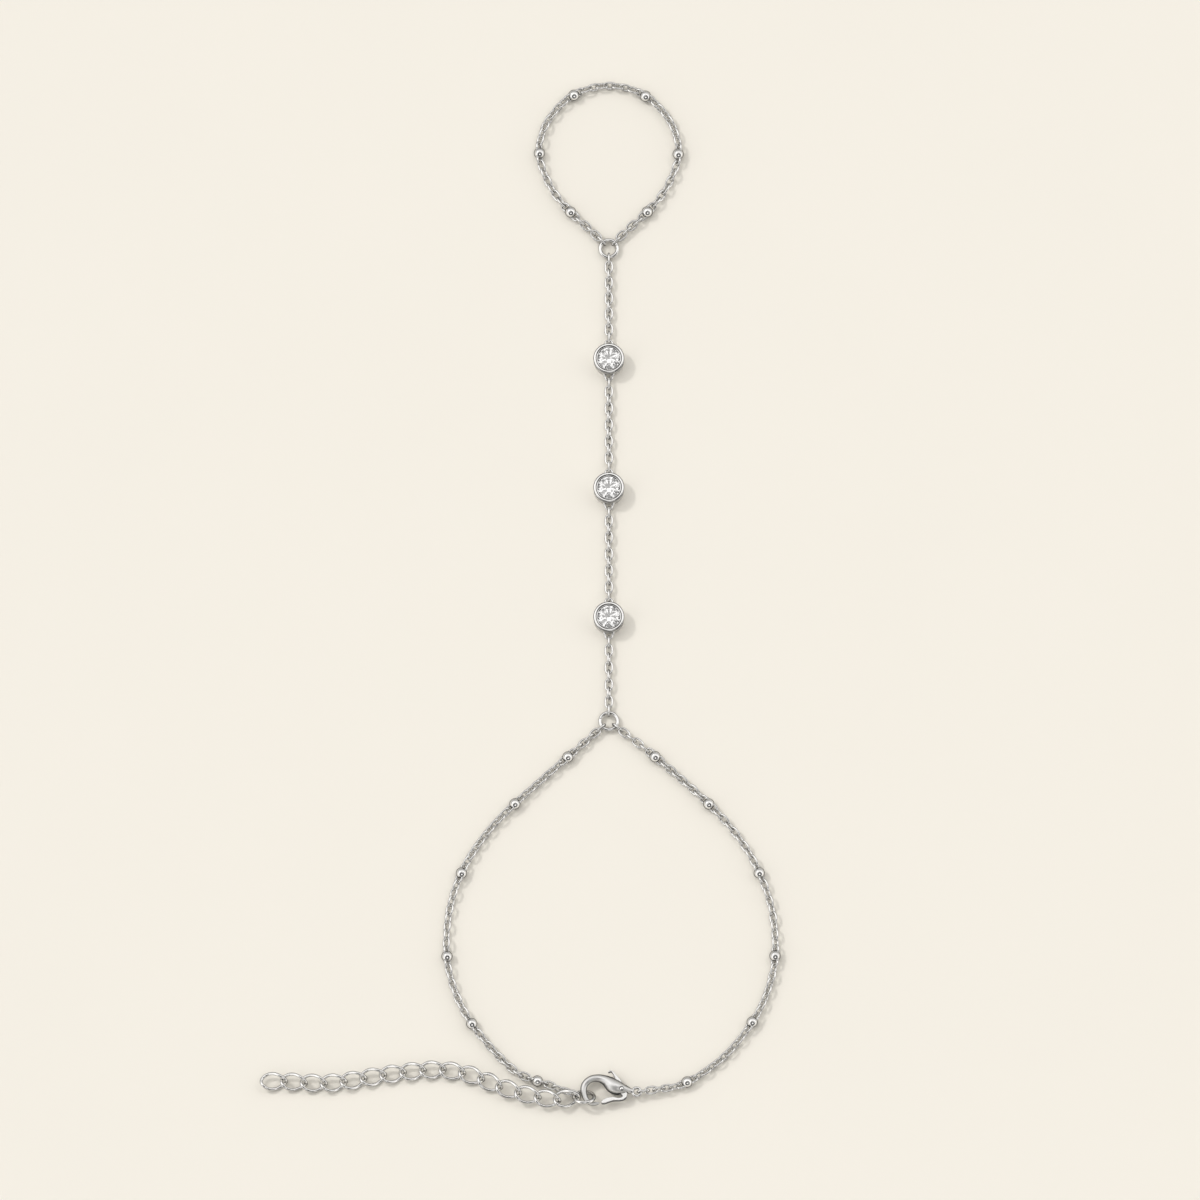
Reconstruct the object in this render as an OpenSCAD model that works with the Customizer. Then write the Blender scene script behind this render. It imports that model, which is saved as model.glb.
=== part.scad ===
// Hand chain bracelet: a finger loop and a wrist loop of fine cable chain with
// soldered beads, joined along the back of the hand by a chain with three stone
// settings, and closed by a lobster clasp with a curb extension chain.
// Millimetres. The origin is the middle of the back of the middle setting, +Y
// points to the finger and +Z out of the stones.

/* [Fine chain] */
// Thickness of the fine links' wire
fine_wire = 0.3; // [0.25:0.01:0.32]
// Length of a fine link, outside
fine_link_l = 1.96; // [1.9:0.02:2.4]
// Gap kept between pieces that hang in each other
link_gap = 0.1; // [0.1:0.01:0.12]
// How far the fine links lean from lying flat, in the loops
loop_lean = 38; // [20:1:45]
// How far the fine links lean from lying flat, along the hand
hand_lean = 15; // [5:1:30]

/* [Beads] */
// Diameter of the beads
bead_d = 1.6; // [1.4:0.1:2.2]
// Gap between a bead and the link beside it, where the chain bends
bead_gap = 0.16; // [0.11:0.01:0.2]

/* [Jump rings] */
// Thickness of the jump rings' wire
jump_wire = 0.5; // [0.4:0.05:0.6]
// Outside diameter of the rings at the ends of the hand chain
jump_ring_d = 3; // [2.9:0.1:3.8]
// Outside diameter of the ring that the clasp hooks into
end_ring_d = 3.4; // [3.4:0.1:4]
// How far the end ring leans from lying flat
end_ring_lean = 45; // [42:1:50]

/* [Settings] */
// Diameter of the stones
stone_d = 3.3; // [2.8:0.1:4.5]
// Thickness of a setting's wall
bezel_wall = 0.52; // [0.4:0.02:0.7]
// Thickness of a setting's closed back
bezel_floor = 0.25; // [0.2:0.05:0.4]
// Height of a setting's rim over the stone's widest line
bezel_rim = 0.42; // [0.3:0.02:0.6]
// Gap between a stone and its seat
seat_gap = 0.04; // [0.03:0.01:0.08]

/* [Hand chain] */
// Distance between the middles of two neighbouring settings
setting_step = 18.95; // [12:0.05:26]
// Distance from the finger ring to the first setting
finger_ring_step = 16.45; // [10:0.05:24]
// Distance from the last setting to the wrist ring
wrist_ring_step = 15; // [10:0.05:24]

/* [Finger loop] */
// Width of the finger loop at the wire's middle
finger_loop_w = 20.2; // [15:0.2:26]
// Length of the finger loop from the middle of its ring
finger_loop_l = 24; // [19:0.2:30]

/* [Wrist loop] */
// Width of the wrist loop at the wire's middle
wrist_loop_w = 46.9; // [40:0.2:60]
// Length of the wrist loop from its ring to the clasp's eye
wrist_loop_l = 54.3; // [48:0.2:66]

/* [Clasp] */
// Length of the clasp, with its eye
clasp_l = 9; // [8.6:0.1:10.5]
// Width of the clasp's body where it is widest
clasp_w = 2.2; // [2:0.05:2.5]
// Thickness of the clasp's body where it is thickest
clasp_t = 2.4; // [2.3:0.05:2.8]
// Outside diameter of the clasp's eye
eye_d = 1.6; // [1.55:0.05:2]
// Thickness of the eye's wire
eye_wire = 0.42; // [0.38:0.02:0.46]
// Thickness of the lever
lever_t = 0.8; // [0.6:0.05:1]
// Diameter of the rivet that the lever turns on
rivet_d = 0.6; // [0.5:0.05:0.8]
// Clearance of the rivet in its holes, all round
rivet_play = 0.03; // [0.02:0.01:0.05]
// Clearance beside and around the lever
lever_play = 0.08; // [0.06:0.01:0.12]
// How far the lever opens
lever_swing = 25; // [15:1:28]

/* [Extension chain] */
// Length of the extension chain from the end ring
extension_l = 46.4; // [30:1:60]
// Thickness of the extension links' wire
extension_wire = 0.5; // [0.45:0.01:0.54]
// Length of an extension link, outside
extension_link_l = 4.05; // [3.9:0.05:4.6]
// Width of an extension link before it is twisted, outside
extension_link_w = 2.75; // [2.6:0.05:3.1]
// Twist of an extension link from its middle to either end
extension_twist = 45; // [40:1:50]
// How far the extension links lean from lying flat
extension_lean = 27; // [15:1:35]
// How far the first extension link leans, beside the fine chain
extension_first_lean = 30; // [25:1:45]

/* [Hidden] */

// Half of the finger loop, from its ring to the top: shares of half its width and of its length
FINGER_HALF = [[0, 0], [0.25, 0.108], [0.545, 0.222], [0.77, 0.338], [0.915, 0.46],
               [0.995, 0.58], [0.951, 0.698], [0.829, 0.807], [0.5, 0.942], [0, 1]];
// Places of the beads along the finger loop, as shares of its length
FINGER_BEADS = [0.1155, 0.2626, 0.4166, 0.5794, 0.7352, 0.885];
// The wrist loop's right half, from its ring to the clasp's eye: the same shares
WRIST_RIGHT = [[0, 0], [0.281, 0.096], [0.607, 0.223], [0.796, 0.317], [0.915, 0.409],
               [0.993, 0.511], [1.012, 0.632], [0.965, 0.727], [0.872, 0.811],
               [0.702, 0.903], [0.476, 0.973], [0.312, 0.992], [0.169, 1]];
// The wrist loop's left half, from its ring to just before the end ring
WRIST_LEFT = [[0, 0], [-0.249, 0.097], [-0.571, 0.223], [-0.76, 0.311], [-0.897, 0.409],
              [-0.973, 0.516], [-0.986, 0.633], [-0.937, 0.727], [-0.835, 0.815],
              [-0.663, 0.905], [-0.531, 0.955], [-0.437, 0.967], [-0.33, 0.986]];
// Places of the beads along each half, as shares of its length
WRIST_RIGHT_BEADS = [0.1133, 0.2521, 0.42, 0.5876, 0.7264, 0.9005];
WRIST_LEFT_BEADS = [0.1078, 0.2473, 0.4221, 0.5929, 0.7374, 0.9132];
// The extension chain from the end ring to its free end: shares of its length
EXTENSION = [[-0.059, -0.013], [-0.123, -0.005], [-0.189, 0.009], [-0.248, 0.028],
             [-0.308, 0.056], [-0.363, 0.075], [-0.425, 0.089], [-0.55, 0.08],
             [-0.665, 0.062], [-0.789, 0.043], [-0.911, 0.051], [-1, 0.05]];

// Clasp sections from the eye to the claw's tip. Columns: along and across, as shares
// of the clasp's length, width as a share of clasp_w, thickness as a share of clasp_t
CLASP_SECTIONS = [[-0.075, 0.006, 0.28, 0.24],
                  [-0.11, 0.018, 0.4, 0.42],
                  [-0.165, 0.032, 0.55, 0.68],
                  [-0.227, 0.044, 0.78, 0.88],
                  [-0.3, 0.064, 0.95, 0.99],
                  [-0.373, 0.098, 1, 0.96],
                  [-0.434, 0.145, 0.85, 0.86],
                  [-0.5, 0.189, 0.65, 0.74],
                  [-0.6, 0.22, 0.5, 0.6],
                  [-0.71, 0.21, 0.45, 0.5],
                  [-0.795, 0.153, 0.44, 0.44],
                  [-0.837, 0.07, 0.43, 0.41],
                  [-0.833, -0.033, 0.38, 0.36],
                  [-0.8, -0.116, 0.34, 0.33],
                  [-0.745, -0.174, 0.3, 0.3],
                  [-0.68, -0.194, 0.26, 0.27],
                  [-0.625, -0.188, 0.22, 0.24],
                  [-0.593, -0.178, 0.12, 0.14]];
// Where the rivet goes, and where the end ring's middle lies, as shares of the clasp's length
RIVET_AT = [-0.238, 0.03];
RING_AT = [-0.833, -0.087];
// The lever from its gate's tip, past the rivet, to its trigger's curled tip. Columns: along,
// across and width, as shares of the clasp's length and of clasp_w
LEVER = [[-0.556, -0.184, 0.12],
         [-0.516, -0.165, 0.27],
         [-0.452, -0.138, 0.31],
         [-0.373, -0.122, 0.24],
         [-0.286, -0.127, 0.18],
         [-0.225, -0.115, 0.2],
         [-0.19, -0.08, 0.27],
         [-0.2, -0.03, 0.38],
         [-0.238, 0.03, 0.4],
         [-0.262, 0.1, 0.38],
         [-0.29, 0.17, 0.32],
         [-0.322, 0.228, 0.2],
         [-0.355, 0.278, 0.12],
         [-0.385, 0.318, 0.1],
         [-0.418, 0.33, 0.1],
         [-0.447, 0.308, 0.08]];

$fn = 36;
STEPS = 6;
SILVER = [0.8, 0.81, 0.82];

// Width of the opening in a fine link, which a jump ring's wire passes through
fine_hole_w = jump_wire + 2 * link_gap;
fine_link_w = fine_hole_w + 2 * fine_wire;
fine_step = fine_link_l - 2 * fine_wire - link_gap;
// Length of a fine link between the middles of its two end wires
fine_reach = fine_link_l - fine_wire;
chain_h = fine_link_w / 2;
bead_h = max(chain_h, bead_d / 2);
// From the middle of a jump ring's wire to the middle of the end wire that hangs in it
ring_hook = jump_wire / 2 + link_gap + fine_wire / 2;
jump_r = (jump_ring_d - jump_wire) / 2;
bead_hook = bead_d / 2 + bead_gap + fine_wire / 2;
bead_loop_l = 2 * (bead_hook + fine_wire / 2 + bead_gap + fine_wire);

stone_r = stone_d / 2;
table_r = 0.57 * stone_r;
star_r = 0.8 * stone_r;
crown_h = 0.15 * stone_d;
girdle_h = 0.03 * stone_d;
pavilion_h = 0.43 * stone_d;
seat_r = stone_r + seat_gap;
bezel_r = seat_r + bezel_wall;
girdle_z = bezel_floor + seat_gap + pavilion_h;
bezel_h = girdle_z + girdle_h + bezel_rim;
bezel_eye_r = (fine_link_w - fine_wire) / 2;
bezel_eye_x = bezel_r + bezel_eye_r / 2;
bezel_hook = bezel_eye_x + bezel_eye_r - fine_wire - link_gap;

finger_ring_at = [0, setting_step + finger_ring_step, chain_h];
wrist_ring_at = [0, -setting_step - wrist_ring_step, chain_h];

clasp_z = clasp_t / 2;
clasp_at = [WRIST_RIGHT[len(WRIST_RIGHT) - 1][0] * wrist_loop_w / 2,
            wrist_ring_at[1] - wrist_loop_l, clasp_z];
eye_r = (eye_d - eye_wire) / 2;
eye_hook = eye_r - eye_wire / 2 - link_gap - fine_wire / 2;
rivet_at = RIVET_AT * clasp_l;
slot_t = lever_t + 2 * lever_play;
hub_r = 0.21 * clasp_w + rivet_d / 4;

end_ring_r = (end_ring_d - jump_wire) / 2;
end_ring_at = [clasp_at[0] + RING_AT[0] * clasp_l, clasp_at[1] + RING_AT[1] * clasp_l,
               end_ring_r * sin(end_ring_lean) + jump_wire / 2];

extension_half_l = (extension_link_l - extension_wire) / 2;
extension_half_w = (extension_link_w - extension_wire) / 2;
extension_step = extension_link_l - 2 * extension_wire - 2 * link_gap;
extension_hook = jump_wire / 2 + link_gap + extension_wire / 2;

// Smooth curve through the points p, between point i and the next, at share t
function curve_at(p, i, t) =
    let (n = len(p), a = p[max(i - 1, 0)], b = p[i], c = p[i + 1], d = p[min(i + 2, n - 1)])
    0.5 * (2 * b + (c - a) * t + (2 * a - 5 * b + 4 * c - d) * t * t
           + (3 * b - a - 3 * c + d) * t * t * t);
function smooth(p) = concat(
    [for (i = [0:len(p) - 2]) for (k = [0:STEPS - 1]) curve_at(p, i, k / STEPS)],
    [p[len(p) - 1]]);

// A route keeps the way along it beside each of its points: [length, x, y] rows
function measured(p) =
    [for (i = 0, s = 0; i < len(p); i = i + 1, s = i < len(p) ? s + norm(p[i] - p[i - 1]) : s)
        [s, p[i][0], p[i][1]]];
function route_len(r) = r[len(r) - 1][0];
function column(r, k) = [for (row = r) [row[0], row[k]]];
function tables(r) = [column(r, 1), column(r, 2), route_len(r)];
// The point at s along a route, carried straight on past its last point
function along(t, s) =
    let (x = lookup(s, t[0]), y = lookup(s, t[1]))
    [x, y];

// The links and beads of a stretch from one hook to the next: rows of [middle, is a bead]
function links_between(a, b) =
    let (n = max(1, ceil((b - a - fine_reach) / fine_step) + 1),
         step = n > 1 ? (b - a - fine_reach) / (n - 1) : 0)
    [for (i = [0:n - 1]) [a + fine_reach / 2 + i * step, false]];
function strung(a, b, beads) =
    let (n = len(beads))
    [for (i = [0:n])
        each concat(links_between(i == 0 ? a : beads[i - 1] + bead_hook,
                                  i == n ? b : beads[i] - bead_hook),
                    i < n ? [[beads[i], true]] : [])];

// Height of the chain's middle: raised at its ends and where a bead stands on the surface
function rise(d, hold, reach) =
    let (t = max(0, 1 - max(0, abs(d) - hold) / reach)) t * t * (3 - 2 * t);
function height_at(s, beads, len, z0, z1) =
    max(concat([chain_h + (z0 - chain_h) * rise(s, fine_step, 5 * fine_step),
                chain_h + (z1 - chain_h) * rise(len - s, fine_step, 5 * fine_step)],
               [for (b = beads)
                   chain_h + (bead_h - chain_h) * rise(s - b, bead_loop_l / 2, 3 * fine_step)]));

// Lean of link k of n: from the first one's, over the chain's own, to the last one's
function lean_at(k, n, lean, first, last) =
    let (u = n > 1 ? (k - 1) / (n - 1) : 0, e = 0.15, end = last + (n % 2 == 0 ? 90 : 0))
    u < e ? first + (lean - first) * u / e
    : u < 1 - e ? lean
    : lean + (end - lean) * (u - 1 + e) / e;

// Points and turns of everything on a chain: rows of [middle, length, slope, heading, roll, bead]
function chain_items(t, items, beads, z0, z1, lean, first, last) =
    [for (k = [0:len(items) - 1])
        let (s = items[k][0],
             bead = items[k][1],
             half = bead ? bead_hook : fine_reach / 2,
             p = along(t, s - half),
             q = along(t, s + half),
             zp = height_at(s - half, beads, t[2], z0, z1),
             zq = height_at(s + half, beads, t[2], z0, z1),
             flat = norm(q - p))
        [[(p[0] + q[0]) / 2, (p[1] + q[1]) / 2, (zp + zq) / 2],
         -atan2(zq - zp, flat),
         atan2(q[1] - p[1], q[0] - p[0]),
         90 * (k + 1) + lean_at(k + 1, len(items), lean, first, last),
         bead]];

// Middle of an extension link's wire, at angle a round the link
function extension_middle(a) =
    let (x = extension_half_l * cos(a), w = extension_half_w * sin(a),
         turn = extension_twist * x / extension_half_l)
    [x, w * cos(turn), w * sin(turn)];
// How far a leaning extension link reaches below its own middle
function extension_reach(lean) =
    extension_wire / 2 + max([for (a = [0:15:345])
        let (p = extension_middle(a)) p[1] * sin(lean) - p[2] * cos(lean)]);

// The routes and what is strung on them
finger_points = concat(
    [for (p = FINGER_HALF) [p[0] * finger_loop_w / 2, finger_ring_at[1] + p[1] * finger_loop_l]],
    [for (i = [len(FINGER_HALF) - 2:-1:0])
        [-FINGER_HALF[i][0] * finger_loop_w / 2,
         finger_ring_at[1] + FINGER_HALF[i][1] * finger_loop_l]]);
finger_route = tables(measured(smooth(finger_points)));
finger_beads = FINGER_BEADS * finger_route[2];
finger_items = chain_items(
    finger_route,
    strung(jump_r - ring_hook, finger_route[2] - jump_r + ring_hook, finger_beads),
    finger_beads, chain_h, chain_h, loop_lean, 0, 0);

function wrist_points(half) =
    [for (p = half) [p[0] * wrist_loop_w / 2, wrist_ring_at[1] - p[1] * wrist_loop_l]];

// The end ring: the direction from its middle to its wire at turn a
function end_ring_dir(a) =
    [cos(a), cos(end_ring_lean) * sin(a), -sin(end_ring_lean) * sin(a)];
function end_ring_point(a) = end_ring_at + end_ring_r * end_ring_dir(a);
left_turn = 148;
end_ring_slack = 0.07;
extension_turn = 192;
// The middle of an end wire hooked over point p of the ring by a link that comes from point q
function hooked(p, q, d) =
    let (v = [p[0] - q[0], p[1] - q[1]])
    [p[0], p[1]] + d * v / norm(v);
// Lean of a link that hangs squarely on the ring's wire at turn a and runs along direction v
function hung_lean(a, v) =
    let (w = end_ring_dir(a + 90), u = v / norm(v))
    atan2(w[0] * u[1] - w[1] * u[0], w[2]);

right_route = tables(measured(smooth(wrist_points(WRIST_RIGHT))));
right_beads = WRIST_RIGHT_BEADS * right_route[2];
right_items = chain_items(
    right_route, strung(jump_r - ring_hook, right_route[2] - eye_hook, right_beads),
    right_beads, chain_h, clasp_z, loop_lean, 0, 0);

left_free = wrist_points(WRIST_LEFT);
left_before = left_free[len(left_free) - 1];
left_end = hooked(end_ring_point(left_turn), left_before, ring_hook + end_ring_slack);
left_points = concat(left_free, [left_end]);
left_route = tables(measured(smooth(left_points)));
left_beads = WRIST_LEFT_BEADS * left_route[2];
left_items = chain_items(
    left_route, strung(jump_r - ring_hook, left_route[2], left_beads),
    left_beads, chain_h, max(chain_h, end_ring_point(left_turn)[2]), loop_lean, 0,
    hung_lean(left_turn, left_end - left_before) - 90);

// A straight stretch of the hand chain between heights of equal level
function hand_items(from, to) =
    let (t = tables(measured([[0, from], [0, to]])))
    chain_items(t, strung(0, from - to, []), [], chain_h, chain_h, hand_lean, 0, 0);

extension_free = [for (p = EXTENSION)
    [end_ring_at[0] + p[0] * extension_l, end_ring_at[1] + p[1] * extension_l]];
extension_hung = end_ring_point(extension_turn);
extension_points = concat(
    [hooked(extension_hung, extension_free[0], extension_hook + 2 * end_ring_slack)],
    extension_free);
extension_route = tables(measured(smooth(extension_points)));
extension_count = floor((extension_route[2] - 2 * extension_half_l) / extension_step) + 1;

module silver() {
    color(SILVER) children();
}

// A closed loop of wire: two half rings and two straight sides
module wire_loop(length, width, wire) {
    straight = length - width;
    bend_r = (width - wire) / 2;
    for (side = [0, 1])
        mirror([side, 0, 0])
            translate([straight / 2, 0, 0])
                rotate([0, 0, -90])
                    rotate_extrude(angle = 180)
                        translate([bend_r, 0])
                            circle(d = wire);
    for (side = [-1, 1])
        translate([-straight / 2, side * bend_r, 0])
            rotate([0, 90, 0])
                cylinder(d = wire, h = straight);
}

module wire_ring(radius, wire) {
    rotate_extrude()
        translate([radius, 0])
            circle(d = wire);
}

module placed(item) {
    translate(item[0])
        rotate([item[3], item[1], item[2]])
            children();
}

// The fine links of a chain, without its beads
module fine_links(items) {
    silver()
        for (item = items)
            if (!item[4])
                placed(item)
                    wire_loop(fine_link_l, fine_link_w, fine_wire);
}

// Bead number k of a chain, soldered on its own link
module bead(items, k) {
    item = [for (row = items) if (row[4]) row][k - 1];
    silver()
        placed(item) {
            sphere(d = bead_d);
            wire_loop(bead_loop_l, fine_link_w, fine_wire);
        }
}

module jump_ring(at) {
    silver()
        translate(at)
            wire_ring(jump_r, jump_wire);
}

module end_ring() {
    silver()
        translate(end_ring_at)
            rotate([-end_ring_lean, 0, 0])
                wire_ring(end_ring_r, jump_wire);
}

// A cup setting with a conical seat, a round rim turned in over the stone, and two eyes
module bezel(y) {
    rim_r = bezel_wall / 2;
    silver()
        translate([0, y, 0]) {
            difference() {
                union() {
                    cylinder(r = bezel_r, h = bezel_h - rim_r);
                    translate([0, 0, bezel_h - rim_r])
                        wire_ring(bezel_r - rim_r, bezel_wall);
                }
                translate([0, 0, bezel_floor])
                    cylinder(r1 = seat_gap, r2 = seat_r, h = girdle_z - bezel_floor);
                translate([0, 0, girdle_z - seat_gap])
                    cylinder(r = seat_r, h = girdle_h + 2 * seat_gap);
                translate([0, 0, girdle_z + girdle_h + seat_gap])
                    cylinder(r1 = seat_r, r2 = table_r, h = crown_h);
                translate([0, 0, girdle_z])
                    cylinder(r = stone_r - rim_r / 4, h = bezel_h);
            }
            for (side = [0, 1])
                mirror([0, side, 0])
                    bezel_eye();
        }
}

module bezel_eye() {
    translate([0, bezel_eye_x, chain_h])
        wire_ring(bezel_eye_r, fine_wire);
}

// A round brilliant: table, star and kite rings, girdle, pavilion ring and culet
module stone(y) {
    lower_r = 0.55 * stone_r;
    turn = 360 / 16;
    function ring(r, z, n, shift) =
        [for (i = [0:n - 1]) [r * cos((i + shift) * 360 / n), r * sin((i + shift) * 360 / n), z]];
    top = ring(table_r, girdle_h + crown_h, 8, 0);
    star = ring(star_r, girdle_h + crown_h * 0.55, 8, 0.5);
    girdle_top = ring(stone_r, girdle_h, 16, 0);
    girdle_low = ring(stone_r, 0, 16, 0);
    lower = ring(lower_r, -pavilion_h * 0.46, 8, 0.5);
    points = concat(top, star, girdle_top, girdle_low, lower, [[0, 0, -pavilion_h]]);
    color([0.93, 0.95, 0.97])
        translate([0, y, girdle_z])
            hull()
                polyhedron(points = points, faces = [[for (i = [0:len(points) - 1]) i]]);
}

// One twisted link of the extension chain, swept round its loop
module extension_link() {
    around = 16;
    sides = 6;
    points = [for (i = [0:around - 1])
        let (a = i * 360 / around,
             p = extension_middle(a),
             v = extension_middle(a + 1) - extension_middle(a - 1),
             t = v / norm(v),
             out = p / norm(p),
             b = cross(t, out),
             side = b / norm(b),
             up = cross(side, t))
        for (k = [0:sides - 1])
            let (c = (k + 0.5) * 360 / sides)
            p + extension_wire / 2 * (cos(c) * up + sin(c) * side)];
    n = around * sides;
    faces = [for (i = [0:around - 1]) for (k = [0:sides - 1])
        let (a = i * sides + k, b = i * sides + (k + 1) % sides)
        each [[a, b, (b + sides) % n], [a, (b + sides) % n, (a + sides) % n]]];
    polyhedron(points = points, faces = faces);
}

module extension_chain() {
    silver()
        for (i = [0:extension_count - 1]) {
            s = extension_half_l + i * extension_step;
            p = along(extension_route, s - extension_half_l);
            q = along(extension_route, s + extension_half_l);
            near = rise(s - extension_half_l, 0, 7 * extension_step);
            lean = extension_lean + near * (extension_first_lean - extension_lean);
            low = extension_reach(lean);
            h = low + near * (extension_hung[2] - low);
            translate([(p[0] + q[0]) / 2, (p[1] + q[1]) / 2, h])
                rotate([-lean, 0, atan2(q[1] - p[1], q[0] - p[0])])
                    extension_link();
        }
}

// A flat strip of changing width along rows of [along, across, width]
module strip(rows) {
    p = smooth([for (r = rows) [r[0] * clasp_l, r[1] * clasp_l, r[2] * clasp_w]]);
    n = len(p);
    function side(i) =
        let (v = [for (k = [0, 1]) p[min(i + 1, n - 1)][k] - p[max(i - 1, 0)][k]])
        [-v[1], v[0]] / norm(v) * p[i][2] / 2;
    left = [for (i = [0:n - 1]) [p[i][0], p[i][1]] + side(i)];
    right = [for (i = [n - 1:-1:0]) [p[i][0], p[i][1]] - side(i)];
    polygon(concat(left, right));
}

// The claw, body and neck: oval sections swept along one curve
module clasp_horn() {
    sides = 20;
    p = smooth([for (r = CLASP_SECTIONS)
        [r[0] * clasp_l, r[1] * clasp_l, r[2] * clasp_w, r[3] * clasp_t]]);
    n = len(p);
    points = [for (i = [0:n - 1])
        let (v = [for (k = [0, 1]) p[min(i + 1, n - 1)][k] - p[max(i - 1, 0)][k]],
             side = [-v[1], v[0]] / norm(v))
        for (k = [0:sides - 1])
            let (c = cos((k + 0.5) * 360 / sides) * p[i][2] / 2,
                 h = sin((k + 0.5) * 360 / sides) * p[i][3] / 2)
            [p[i][0] + side[0] * c, p[i][1] + side[1] * c, h]];
    walls = [for (i = [0:n - 2]) for (k = [0:sides - 1])
        let (a = i * sides + k, b = i * sides + (k + 1) % sides)
        each [[a, a + sides, b + sides], [a, b + sides, b]]];
    polyhedron(
        points = points,
        faces = concat(walls, [[for (k = [0:sides - 1]) k]],
                       [[for (k = [sides - 1:-1:0]) (n - 1) * sides + k]]));
}

// The lever as seen from above, without its hole
module lever_outline() {
    strip(LEVER);
    translate(rivet_at)
        circle(r = hub_r);
}

// The room that the lever needs from rest to fully open
module lever_slot() {
    steps = 5;
    translate([0, 0, -slot_t / 2])
        linear_extrude(slot_t)
            for (i = [0:steps])
                translate(rivet_at)
                    rotate([0, 0, -i / steps * lever_swing])
                        translate(-rivet_at)
                            offset(delta = lever_play)
                                lever_outline();
}

module clasp_body() {
    silver()
        translate(clasp_at) {
            difference() {
                clasp_horn();
                lever_slot();
                translate([rivet_at[0], rivet_at[1], -clasp_t])
                    cylinder(r = rivet_d / 2 + rivet_play, h = 2 * clasp_t);
            }
            wire_ring(eye_r, eye_wire);
        }
}

module clasp_lever() {
    silver()
        translate(clasp_at)
            translate([0, 0, -lever_t / 2])
                difference() {
                    union() {
                        linear_extrude(lever_t)
                            strip(LEVER);
                        translate(rivet_at)
                            cylinder(r = hub_r, h = lever_t);
                    }
                    translate([rivet_at[0], rivet_at[1], -lever_t])
                        cylinder(r = rivet_d / 2 + rivet_play, h = 3 * lever_t);
                }
}

module clasp_rivet() {
    silver()
        translate([clasp_at[0] + rivet_at[0], clasp_at[1] + rivet_at[1], clasp_z])
            cylinder(d = rivet_d, h = 0.84 * clasp_t, center = true);
}

bezel_y = [setting_step, 0, -setting_step];

fine_links(finger_items);  // finger_chain
bead(finger_items, 1);  // finger_bead_1
bead(finger_items, 2);  // finger_bead_2
bead(finger_items, 3);  // finger_bead_3
bead(finger_items, 4);  // finger_bead_4
bead(finger_items, 5);  // finger_bead_5
bead(finger_items, 6);  // finger_bead_6
jump_ring(finger_ring_at);  // finger_ring
fine_links(hand_items(finger_ring_at[1] - jump_r + ring_hook, bezel_y[0] + bezel_hook));  // hand_chain_1
fine_links(hand_items(bezel_y[0] - bezel_hook, bezel_y[1] + bezel_hook));  // hand_chain_2
fine_links(hand_items(bezel_y[1] - bezel_hook, bezel_y[2] + bezel_hook));  // hand_chain_3
fine_links(hand_items(bezel_y[2] - bezel_hook, wrist_ring_at[1] + jump_r - ring_hook));  // hand_chain_4
bezel(bezel_y[0]);  // bezel_1
bezel(bezel_y[1]);  // bezel_2
bezel(bezel_y[2]);  // bezel_3
stone(bezel_y[0]);  // stone_1
stone(bezel_y[1]);  // stone_2
stone(bezel_y[2]);  // stone_3
jump_ring(wrist_ring_at);  // wrist_ring
fine_links(left_items);  // wrist_chain_left
fine_links(right_items);  // wrist_chain_right
bead(left_items, 1);  // wrist_bead_left_1
bead(left_items, 2);  // wrist_bead_left_2
bead(left_items, 3);  // wrist_bead_left_3
bead(left_items, 4);  // wrist_bead_left_4
bead(left_items, 5);  // wrist_bead_left_5
bead(left_items, 6);  // wrist_bead_left_6
bead(right_items, 1);  // wrist_bead_right_1
bead(right_items, 2);  // wrist_bead_right_2
bead(right_items, 3);  // wrist_bead_right_3
bead(right_items, 4);  // wrist_bead_right_4
bead(right_items, 5);  // wrist_bead_right_5
bead(right_items, 6);  // wrist_bead_right_6
end_ring();
extension_chain();
clasp_body();
clasp_lever();
clasp_rivet();
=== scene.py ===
import math

import bpy
import numpy as np
from mathutils import Matrix, Vector


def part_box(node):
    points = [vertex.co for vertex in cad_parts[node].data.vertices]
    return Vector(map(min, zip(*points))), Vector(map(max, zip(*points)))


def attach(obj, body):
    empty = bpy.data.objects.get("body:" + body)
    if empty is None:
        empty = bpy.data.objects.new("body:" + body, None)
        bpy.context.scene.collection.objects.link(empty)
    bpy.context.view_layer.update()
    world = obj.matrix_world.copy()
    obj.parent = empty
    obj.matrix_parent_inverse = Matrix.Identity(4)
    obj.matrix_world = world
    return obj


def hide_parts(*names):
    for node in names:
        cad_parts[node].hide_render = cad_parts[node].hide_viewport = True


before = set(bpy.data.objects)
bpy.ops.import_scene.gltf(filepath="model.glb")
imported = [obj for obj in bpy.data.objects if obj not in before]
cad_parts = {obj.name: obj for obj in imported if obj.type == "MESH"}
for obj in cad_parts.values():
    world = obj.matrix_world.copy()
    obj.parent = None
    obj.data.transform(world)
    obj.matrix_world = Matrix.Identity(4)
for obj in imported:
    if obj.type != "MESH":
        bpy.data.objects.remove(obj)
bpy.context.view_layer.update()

# Fine cable chain. Round silver wire is bent into long oval links, each hung in the one
# before, and the joint in its side is soldered shut. The chain is tumbled until it is bright.
LINK_POINTS = 54
LINK_SAMPLES = 721
LINK_FULLNESS = 2.5
LINK_WIRE_FLATS = 12
SOLDER_SWELL = 0.08
SOLDER_REACH = 0.00013
LINK_ROCK = math.radians(5)
ROCK_SEED = 4
SILVER = (0.925, 0.922, 0.915, 1)
# Painted shade: the dark grey that the silver is darkened to where its surface turns away from
# view
PAINTED_EDGE_SHADE = (0.16, 0.16, 0.162, 1)
EDGE_TINT = (0.25, 0.25, 0.25, 1)
# Painted shade: the dark grey painted into recesses, between links and under parts
PAINTED_RECESS_SHADE = (0.17, 0.165, 0.16, 1)
CLOUD_SIZE = 0.0011
CLOUD_DETAIL = 3
CLOUD_RANGE = (0.35, 0.65)
MARK_STRETCH = (1, 0.22, 1)
MARK_TURN = (0.3, 0.2, 0.7)
MARK_DETAIL = 5
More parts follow.
